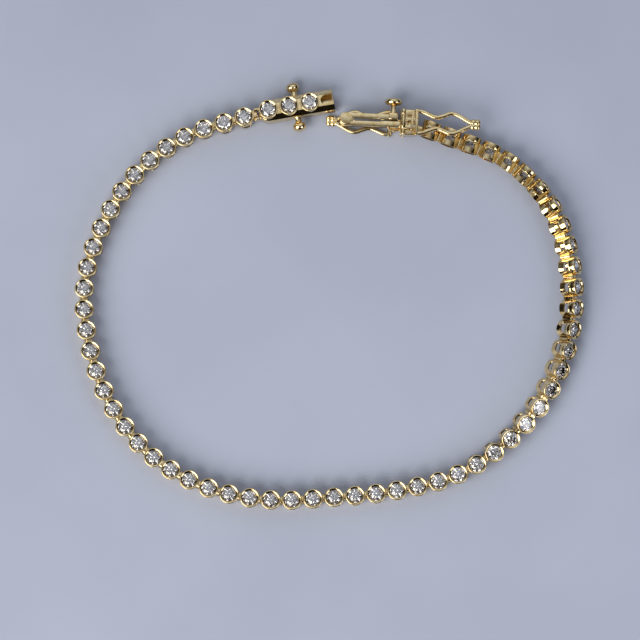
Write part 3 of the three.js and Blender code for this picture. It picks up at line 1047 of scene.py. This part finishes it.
@dataclass
class Chain:
    """The whole chain of cups, stones and hinges, in the two halves that it is packed in."""

    lie: Lie
    cup: BezelCup = field(default_factory=BezelCup)
    stone: Brilliant = field(default_factory=Brilliant)
    hinge: HingeLug = field(default_factory=HingeLug)
    half_links: int = 30
    table_drop: float = 0.17
    stone_turn: float = 37.0

    def build(self, gold: Finish, diamond: Finish, body: str) -> list[bpy.types.Object]:
        """Builds both halves: their cups, hinges and stones.

        Args:
            gold: Finish of the metal.
            diamond: Finish of the stones.
            body: Body that they ride on.

        Returns:
            Three pieces for each half.
        """
        frames = self.lie.link_frames()
        cup, stone = self.cup.form(), self.stone.form(self.cup.height - self.table_drop)
        lug, end_lug = self.hinge.form(), self.hinge.end()
        at_lug = Matrix.Translation((self.lie.pitch / 2, 0, self.lie.lug_height))
        before = Matrix.Translation((-self.lie.pitch / 2, 0, self.lie.lug_height))
        halves = {"chain_a": (0, self.half_links), "chain_b": (self.half_links, len(frames))}
        made = []
        for node, (first, end) in halves.items():
            own = frames[first:end]
            hinges = [(end_lug if frame is frames[-1] else lug).placed(frame @ at_lug) for frame in own]
            if first == 0:
                hinges.append(end_lug.placed(frames[0] @ before))
            turns = [Matrix.Rotation(math.radians(self.stone_turn * i), 4, "Z") for i in range(first, end)]
            parts = {
                "cups": ([cup.placed(frame) for frame in own], gold),
                "hinges": (hinges, gold),
                "stones": ([stone.placed(frame @ turn) for frame, turn in zip(own, turns)], diamond),
            }
            for part, (forms, finish) in parts.items():
                made.append(Form.joined(forms).piece(f"{node}_{part}", finish, body, node))
        return made


@dataclass
class ClaspBox:
    """Hollow box with three set stones, a keyhole slot at its mouth, side pegs and rear ears.

    The lower edge's rows have a height and an inset. The shoulder's rows have the same as shares of the
    slope's height and width.
    """

    lie: Lie
    stone: Brilliant = field(default_factory=Brilliant)
    ears: LugEars = field(default_factory=LugEars)
    length: float = 10.3
    width: float = 2.9
    height: float = 3.0
    body_height: float = 2.4
    wall: float = 0.3
    floor: float = 0.32
    roof: float = 0.32
    lower_edge: tuple[tuple[float, float], ...] = ((0.0, 0.12), (0.03, 0.05), (0.09, 0.01), (0.14, 0.0))
    slope_width: float = 0.7
    slope_height: float = 0.62
    shoulder: tuple[tuple[float, float], ...] = (
        (0.0, 0.0), (0.1, 0.02), (0.19, 0.07), (0.28, 0.16), (0.82, 0.76), (0.91, 0.86), (0.97, 0.93),
        (1.0, 1.0))
    slot_length: float = 1.75
    slot_width: float = 1.5
    slot_past_mouth: float = 1.0
    slot_below_roof: float = 0.2
    stone_count: int = 3
    rear_margin: float = 1.36
    bore_radius: float = 0.87
    table_drop: float = 0.18
    first_turn: float = 17.0
    next_turn: float = 31.0
    peg_height: float = 1.05
    peg_neck_length: float = 0.75
    peg_head_length: float = 1.2
    peg: Stud = Stud(
        neck=0.44, head=0.94, foot_spread=0.14, collar=0.12, tip_share=0.36, sides=40,
        dome=((0.8, 0.14), (0.95, 0.28), (1.0, 0.42), (0.97, 0.58), (0.86, 0.76), (0.66, 0.9)))

    def stone_places(self) -> list[float]:
        """Places of the stones along the box."""
        return [self.rear_margin + i * self.lie.pitch - self.length / 2 for i in range(self.stone_count)]

    def shell(self) -> Form:
        """The box itself, cut hollow, with its slot and stone bores.

        Returns:
            The hollow box.
        """
        half, radius, under = self.length / 2, self.slot_width / 2, self.body_height - self.roof
        past = half + self.slot_past_mouth
        slot = [(past, -radius), (past, radius)]
        slot += arc((half - self.slot_length + radius, 0), radius, 90, 270, steps=14)
        hollow = self.length - self.width / 2
        middle = (half + self.wall - hollow / 2, 0, (under + self.floor) / 2)
        bore = turned([(0, self.floor), (self.bore_radius, self.floor), (self.bore_radius, self.height),
                       (0, self.height)], sides=32)
        tools = [brick(hollow, self.width - 2 * self.wall, under - self.floor, middle),
                 slab(slot, under - self.slot_below_roof, self.height)]
        tools += [bore.placed(Matrix.Translation((x, 0, 0))) for x in self.stone_places()]
        return self.solid_body().cut_by(tools)

    def solid_body(self) -> Form:
        """Outside of the box, with a rounded rear, sloping shoulders and a soft lower edge.

        Returns:
            The solid box.
        """
        half, radius = self.length / 2, self.width / 2
        shoulder = [(self.body_height - self.slope_height * (1 - up), self.slope_width * across)
                    for up, across in self.shoulder]
        layers = []
        for height, inset in [*self.lower_edge, *shoulder]:
            side = radius - inset
            plan = [(half, -side), (half, side)] + arc((radius - half, 0), side, 90, 270, steps=24)
            layers.append([(x, y, height) for x, y in plan])
        return lofted(layers)

    def bezel(self) -> Form:
        """One bezel on top of the box, with the same lip as the chain's cups."""
        return BezelCup(height=self.height).lip(self.height - self.body_height + self.roof)

    def side_peg(self, side: int) -> Form:
        """Side peg with its rounded head.

        Args:
            side: 1 or -1, the side of the box along Y.

        Returns:
            The peg.
        """
        face = self.width / 2
        under = face + self.peg_neck_length
        peg = self.peg.form(face - self.wall / 2, face, under, under + self.peg_head_length)
        turn = Matrix.Rotation(math.pi if side == -1 else 0.0, 4, "X")
        return peg.placed(Matrix.Translation((0, 0, self.peg_height)) @ turn)

    def build(self, gold: Finish, diamond: Finish, body: str) -> list[bpy.types.Object]:
        """Builds the box and its stones.

        Args:
            gold: Finish of the metal.
            diamond: Finish of the stones.
            body: Body that they ride on.

        Returns:
            The box and its three stones.
        """
        place = self.lie.box_frame()
        seats = [Matrix.Translation((x, 0, 0)) for x in self.stone_places()]
        ears = self.ears.form().placed(Matrix.Translation((-self.length / 2, 0, self.lie.lug_height)))
        bezels = [self.bezel().placed(seat) for seat in seats]
        form = Form.joined([self.shell(), self.side_peg(1), self.side_peg(-1), ears, *bezels])
        made = [form.placed(place).piece("box_gold", gold, body, "clasp_box")]
        for i, seat in enumerate(seats):
            turn = Matrix.Rotation(math.radians(self.first_turn + self.next_turn * i), 4, "Z")
            stone = self.stone.form(self.height - self.table_drop).placed(place @ seat @ turn)
            made.append(stone.piece(f"box_gem_{i + 1}", diamond, body, f"clasp_stone_{i + 1}"))
        return made


@dataclass
class Tongue:
    """Folded spring with its thumb press and the end block that carries both catches."""

    lie: Lie
    ears: LugEars = field(default_factory=LugEars)
    length: float = 8.2
    thickness: float = 1.7
    width: float = 1.8
    root: float = 1.0
    leaf: float = 0.66
    leaf_edge: float = 0.06
    fold: float = 1.9
    close_share: float = 0.31
    close_gap: float = 0.16
    free_gap: float = 0.32
    nose: float = 0.62
    disc_radii: tuple[float, float] = (0.9, 0.78)
    disc_step: float = 0.09
    disc_sides: int = 32
    disc_edge: float = 0.09
    soft_from: float = 35.0
    press_centre: float = 1.0
    press_foot: tuple[float, float, float] = (1.25, 0.95, 1.9)
    press_foot_lift: float = 0.1
    press_foot_edge: float = 0.16
    press_neck_height: float = 1.35
    press_head_height: float = 0.95
    press: Stud = Stud(
        neck=0.4, head=1.2, foot_spread=0.12, collar=0.1, tip_share=0.5, sides=48,
        dome=((0.8, 0.08), (0.93, 0.2), (1.0, 0.38), (1.0, 0.58), (0.95, 0.76), (0.82, 0.9)))
    block_length: float = 2.1
    block_width: float = 2.1
    block_high: float = 1.6
    block_low: float = -1.85
    block_edge: float = 0.09
    groove_width: float = 0.5
    groove_at: float = 1.25
    groove_margin: float = 1.5
    barrel: float = 0.32
    knuckle: float = 0.7
    knuckle_edge: float = 0.06
    knuckle_sides: int = 24
    web_shares: tuple[float, float] = (0.92, 0.98)
    web_depth: float = 0.8
    web_edge: float = 0.05

    def spring(self) -> Form:
        """The folded leaf spring.

        Returns:
            Both leaves and the fold at the nose.
        """
        half = self.thickness / 2
        inner = half - self.leaf
        end = self.length - self.fold - inner
        step = self.length * self.close_share
        near = self.close_gap / 2
        tip, rise = self.length - self.nose, half - self.nose
        outline = [(-self.root, -half)] + arc((tip, -rise), self.nose, -90, 0, steps=8)
        outline += arc((tip, rise), self.nose, 0, 90, steps=8)
        outline += [(self.free_gap, half), (self.free_gap, near), (step, near), (step + inner, inner)]
        outline += arc((end, 0), inner, 90, -90, steps=10)
        outline += [(step + inner, -inner), (step, -near), (-self.root, -near)]
        return slab(outline, -self.width / 2, self.width / 2).rounded(self.leaf_edge, 2, self.soft_from)

    def fold_disc(self) -> Form:
        """The round end of the fold, which stands a little proud of the leaves' edges.

        Returns:
            The disc across the nose.
        """
        long, high = self.disc_radii
        rim = arc((0, 0), 1, 0, 360 - 360 / self.disc_sides, steps=self.disc_sides - 1)
        plan = [(self.length - long + x * long, y * high) for x, y in rim]
        side = self.width / 2 + self.disc_step
        return slab(plan, -side, side).rounded(self.disc_edge, 3, self.soft_from)

    def thumb_press(self) -> Form:
        """The round-headed thumb press and the soldered foot that it stands on.

        Returns:
            The post and its foot.
        """
        face = self.thickness / 2
        base, under = face - self.leaf / 2, face + self.press_neck_height
        stem = self.press.form(base, face, under, under + self.press_head_height)
        foot = brick(*self.press_foot, (self.press_centre, base + self.press_foot_lift, 0))
        return Form.joined([stem.placed(Matrix.Translation((self.press_centre, 0, 0))),
                            foot.rounded(self.press_foot_edge, segments=3)])

    def knuckles(self, high: float, middle: float) -> list[Form]:
        """The four knuckles of the catches' hinges, with the webs that join them to the block.

        Args:
            high: Height of the block.
            middle: Middle of the block's height.

        Returns:
            A barrel and a web for each knuckle.
        """
        made = []
        x, (across, along) = -self.lie.hinge_back, self.web_shares
        for side in (-1, 1):
            for end in (-1, 1):
                y = middle + end * (high - self.knuckle) / 2
                centre = (x, y, side * self.lie.hinge_offset)
                made.append(rod(self.barrel, self.knuckle, self.knuckle_sides, self.knuckle_edge, centre))
                web = brick(2 * self.barrel * across, self.knuckle * along, self.web_depth,
                            (x, y, side * (self.lie.hinge_offset - self.web_depth / 2)))
                made.append(web.rounded(self.web_edge))
        return made

    def block(self) -> Form:
        """The end block with its four knuckles and the ears for the chain's last lug.

        Returns:
            The block and all that is soldered to it.
        """
        high = self.block_high - self.block_low
        middle = (self.block_high + self.block_low) / 2
        core = brick(self.block_length, high, self.block_width, (-self.block_length / 2, middle, 0))
        grooves = [brick(self.groove_width, high - self.groove_margin, self.groove_width,
                         (-self.groove_at, middle, side * self.block_width / 2)) for side in (-1, 1)]
        drop = self.lie.block_axis_height - self.lie.cup_radius - self.lie.twist[-1][2]
        place = Matrix.Translation((-self.block_length, -self.lie.tongue_above_lug, drop))
        ears = self.ears.form().placed(place @ Matrix.Rotation(math.pi / 2, 4, "X"))
        return Form.joined([core.cut_by(grooves).rounded(self.block_edge, segments=3),
                            *self.knuckles(high, middle), ears])

    def build(self, gold: Finish, body: str) -> list[bpy.types.Object]:
        """Builds the tongue.

        Args:
            gold: Finish of the metal.
            body: Body that it rides on.

        Returns:
            The tongue alone.
        """
        form = Form.joined([self.spring(), self.fold_disc(), self.thumb_press(), self.block()])
        return [form.placed(self.lie.tongue_frame()).piece("tongue_gold", gold, body, "tongue")]


@dataclass
class Catch:
    """Figure-eight safety catch and its hinge pin; the outline is the upper half of its loop."""

    lie: Lie
    side: int
    name: str
    barrel: float = 0.32
    barrel_length: float = 1.85
    barrel_edge: float = 0.05
    barrel_sides: int = 28
    base_at: float = 1.8
    base_thickness: float = 0.5
    base_edge: float = 0.12
    wire_width: float = 0.58
    wire_depth: float = 0.5
    wire_edge: float = 0.24
    outline: tuple[tuple[float, float], ...] = (
        (1.8, 1.5), (2.6, 1.42), (3.6, 1.02), (4.5, 0.76), (5.4, 1.0), (6.4, 1.36), (7.4, 1.12),
        (8.3, 0.64), (9.1, 0.24))
    tip_reach: float = 0.2
    plate_thickness: float = 0.3
    arm_width: float = 0.52
    arm_offset: float = 0.52
    arm_middle: float = -0.2
    arm_edge: float = 0.06
    rail_at: float = 1.2
    rail_width: float = 0.4
    rail_length: float = 1.9
    rail_rise: float = 0.1
    rail_edge: float = 0.1
    lobe_radius: float = 0.46
    lobe_spacing: float = 0.54
    lobe_depth: float = 0.3
    lobe_overlap: float = 0.12
    pin_radius: float = 0.13
    pin_length: float = 3.55
    pin_edge: float = 0.03
    pin_sides: int = 20

    def hinge_plate(self) -> list[Form]:
        """The rail between the hinge's two arms, the barrel on its pin and the arms.

        Returns:
            The rail, the barrel and two arms.
        """
        rail = brick(self.rail_width, self.rail_length, self.plate_thickness + self.rail_rise,
                     (self.rail_at, self.arm_middle, 0)).rounded(self.rail_edge, segments=3)
        barrel = rod(self.barrel, self.barrel_length, self.barrel_sides, self.barrel_edge)
        arms = [brick(self.base_at, self.arm_width, self.plate_thickness,
                      (self.base_at / 2, self.arm_middle + side * self.arm_offset, 0)).rounded(self.arm_edge)
                for side in (-1, 1)]
        return [rail, barrel, *arms]

    def lobes(self) -> list[Form]:
        """The tip's four round lobes, in two rows.

        Returns:
            The lobes, the nearer row first.
        """
        tip = self.outline[-1][0] + self.lobe_radius - self.lobe_overlap
        flat = self.lobe_depth / self.lobe_radius
        places = [(tip + row * self.lobe_spacing, side * self.lobe_spacing / 2, 0)
                  for row in (0, 1) for side in (-1, 1)]
        return [ball(self.lobe_radius, flat, place) for place in places]

    def loop(self) -> Form:
        """The whole catch: its flat-wire loop, base bar, hinge and tip.

        Returns:
            The catch, hinge along Y and loop along X.
        """
        upper = spline(self.outline, steps=10)
        lower = [Vector((point.x, -point.y)) for point in reversed(upper)]
        tip = Vector((self.outline[-1][0] + self.tip_reach, 0.0))
        wire = strip([*upper, tip, *lower], self.wire_width, self.wire_depth, self.wire_edge)
        width = 2 * self.outline[0][1] + self.wire_width
        base = brick(self.base_thickness, width, self.wire_depth, (self.base_at, 0, 0))
        base = base.rounded(self.base_edge, segments=3)
        return Form.joined([wire, base, *self.hinge_plate(), *self.lobes()])

    def build(self, gold: Finish, body: str, pin_body: str) -> list[bpy.types.Object]:
        """Builds the catch and its pin.

        Args:
            gold: Finish of the metal.
            body: Body that the catch rides on.
            pin_body: Body that its pin rides on.

        Returns:
            The catch and the pin.
        """
        place = self.lie.hinge_frame(self.side)
        pin = rod(self.pin_radius, self.pin_length, self.pin_sides, self.pin_edge)
        forms = {f"catch_{self.name}": (self.loop(), body), f"catch_pin_{self.name}": (pin, pin_body)}
        return [form.placed(place).piece(f"{node}_gold", gold, rides_on, node)
                for node, (form, rides_on) in forms.items()]


@dataclass(frozen=True)
class SoftBox:
    """Rectangular studio light, its place and size in metres and its power in watts."""

    name: str
    place: tuple[float, float, float]
    size: tuple[float, float]
    watts: float
    colour: str

    def add(self) -> None:
        """Adds the light, facing the bracelet."""
        lamp = bpy.data.lights.new(self.name, "AREA")
        lamp.shape = "RECTANGLE"
        lamp.size, lamp.size_y = self.size
        lamp.energy = self.watts
        lamp.color = srgb(self.colour)[:3]
        made = bpy.data.objects.new(self.name, lamp)
        made.location = self.place
        made.rotation_euler = (-Vector(self.place)).to_track_quat("-Z", "Y").to_euler()
        bpy.context.scene.collection.objects.link(made)


@dataclass
class Studio:
    """Pale floor, soft lights and the camera over the bracelet.

    The distance, the near clip and the board's half size are in metres. The elevation is in degrees. The
    sky's tones go by a mix of how high and how far beyond the bracelet a direction points.
    """

    frame_width_mm: float = 86.4
    centre_mm: tuple[float, float, float] = (-1.265, -3.313, 1.2)
    elevation: float = 85.5
    distance: float = 0.62
    clip_start: float = 0.01
    sensor_mm: float = 36.0
    board_half: float = 1.5
    sky_height: float = 0.62
    sky_lean: float = 0.58
    sky_tones: tuple[tuple[float, str], ...] = (
        (0.05, "#0E0A06"), (0.3, "#3A332A"), (0.5, "#7C7A76"), (0.65, "#B4B7BC"), (0.8, "#E4E8EE"))
    low_sky: tuple[float, float] = (0.1, 0.5)
    low_strength: float = 0.05
    lights: tuple[SoftBox, ...] = (
        SoftBox("key", (-0.42, -0.38, 0.5), (0.6, 0.6), 5.8, "#FFFAF0"),
        SoftBox("side", (0.46, -0.36, 0.4), (0.3, 0.4), 1.1, "#F6F8FF"))

    def floor(self, board: PaleBoard) -> None:
        """Lays the board under the bracelet.

        Args:
            board: Finish of the board.
        """
        mesh = bpy.data.meshes.new("floor")
        half = self.board_half
        corner_points = [(-half, -half, 0), (half, -half, 0), (half, half, 0), (-half, half, 0)]
        mesh.from_pydata(corner_points, [], [(0, 1, 2, 3)])
        mesh.materials.append(board.material())
        made = bpy.data.objects.new("floor", mesh)
        bpy.context.scene.collection.objects.link(made)

    def sky(self) -> None:
        """Soft surroundings that the gold mirrors: bright above and beyond, dark low down and nearby."""
        world = bpy.data.worlds.new("studio")
        world.use_nodes = True
        tree = world.node_tree
        bpy.context.scene.world = world
        place = add_node(tree, "ShaderNodeTexCoord")
        parts = add_node(tree, "ShaderNodeSeparateXYZ", {}, {"Vector": place.outputs["Generated"]})
        height = add_node(tree, "ShaderNodeMath", {"operation": "MULTIPLY"}, {0: parts.outputs["Z"]})
        height.inputs[1].default_value = self.sky_height
        lean = add_node(tree, "ShaderNodeMath", {"operation": "MULTIPLY_ADD"},
                        {0: parts.outputs["Y"], 2: height.outputs["Value"]})
        lean.inputs[1].default_value = self.sky_lean
        shade = add_node(tree, "ShaderNodeValToRGB", {}, {"Fac": lean.outputs["Value"]})
        ramp(shade, [(stop, srgb(colour)) for stop, colour in self.sky_tones])
        start, end = self.low_sky
        low_down = add_node(tree, "ShaderNodeMapRange",
                            {"From Min": start, "From Max": end, "To Min": self.low_strength, "To Max": 1.0},
                            {"Value": parts.outputs["Z"]})
        background = tree.nodes["Background"]
        tree.links.new(low_down.outputs["Result"], background.inputs["Strength"])
        tree.links.new(shade.outputs["Color"], background.inputs["Color"])

    def camera(self) -> None:
        """Places the camera nearly overhead."""
        camera = bpy.data.cameras.new("camera")
        camera.sensor_width = self.sensor_mm
        camera.lens = self.sensor_mm * self.distance / (self.frame_width_mm * MM)
        camera.clip_start = self.clip_start
        made = bpy.data.objects.new("camera", camera)
        aim = Vector(self.centre_mm) * MM
        tilt = math.radians(self.elevation)
        made.location = aim + Vector((0, -math.cos(tilt), math.sin(tilt))) * self.distance
        made.rotation_euler = (aim - made.location).to_track_quat("-Z", "Y").to_euler()
        bpy.context.scene.collection.objects.link(made)
        bpy.context.scene.camera = made

    def build(self) -> None:
        """Builds the whole studio."""
        self.camera()
        self.floor(PaleBoard())
        self.sky()
        for light in self.lights:
            light.add()
        bpy.context.scene.view_settings.view_transform = "Standard"


def corners(found: tuple) -> list[list[float]]:
    """Lowest and highest corner as plain lists of numbers."""
    return [[float(value) for value in corner] for corner in found]


def main() -> None:
    """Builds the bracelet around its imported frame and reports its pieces."""
    logging.basicConfig(level=logging.INFO, format="%(name)s: %(message)s")
    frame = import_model()
    Studio().build()
    lie = Lie()
    joints = {joint["name"]: joint for joint in frame["record"]["behaviour"]["joints"]}
    lie.fit_to(joints["near_catch_hinge"]["pos_m"])
    gold = Finish(PolishedGold().material(), "gold", Shading.POLISHED)
    diamond = Finish(CutDiamond().material(), "stone", Shading.FACETED)
    pieces = Chain(lie).build(gold, diamond, "bracelet")
    pieces += ClaspBox(lie).build(gold, diamond, "bracelet")
    pieces += Tongue(lie).build(gold, "bracelet")
    pieces += Catch(lie, 1, "near").build(gold, "near_catch", "bracelet")
    pieces += Catch(lie, -1, "far").build(gold, "far_catch", "bracelet")
    for piece in pieces:
        LOG.info("%s: %d faces", piece.name, len(piece.data.polygons))


if __name__ == "__main__":
    main()
